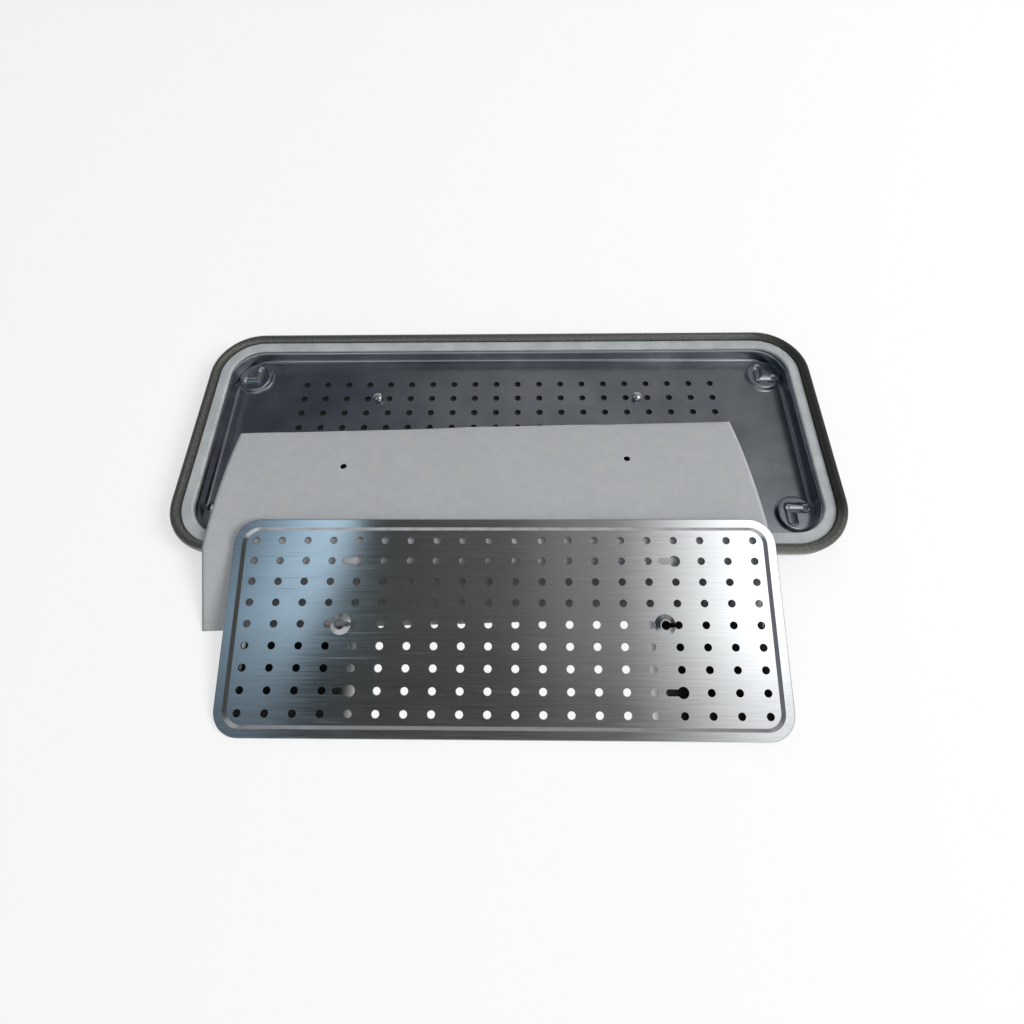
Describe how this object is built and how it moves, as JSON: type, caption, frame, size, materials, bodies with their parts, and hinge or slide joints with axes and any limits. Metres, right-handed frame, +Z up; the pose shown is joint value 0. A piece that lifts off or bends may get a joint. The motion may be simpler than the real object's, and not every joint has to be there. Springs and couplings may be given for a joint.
{
  "type": "sterilising cassette lid set",
  "caption": "Shallow pressed steel cassette lid with sealing gasket, paper filter sheet draped over its rim and a perforated keyhole retention plate leaning on it.",
  "frame": {"origin": "middle of the lid pan's flat underside, on the surface that the set lies on", "axes": "+X along the lid, +Y across it away from the leaning plate, +Z up out of the open pan"},
  "size_m": [0.307, 0.1954, 0.0171],
  "materials": {
    "pan_steel": "satin pressed stainless steel",
    "gasket_silicone": "matt light grey silicone",
    "stud_steel": "polished stainless steel",
    "filter_paper": "fine non-woven filter paper",
    "plate_steel": "stainless steel brushed along its length"
  },
  "bodies": {
    "lid": {"lid_pan": "pan_steel", "gasket": "gasket_silicone", "stud_rear_left": "stud_steel", "stud_rear_right": "stud_steel", "stud_front_left": "stud_steel", "stud_front_right": "stud_steel"},
    "filter": {"filter_sheet": "filter_paper"},
    "plate": {"retention_plate": "plate_steel"}
  },
  "joints": [
    {"name": "filter_lift", "type": "slide", "parent": "lid", "child": "filter", "axis": [0, 0, 1], "range_m": [0, 0.05]},
    {"name": "plate_lift", "type": "slide", "parent": "filter", "child": "plate", "axis": [0, 0, 1], "range_m": [0, 0.06]}
  ]
}
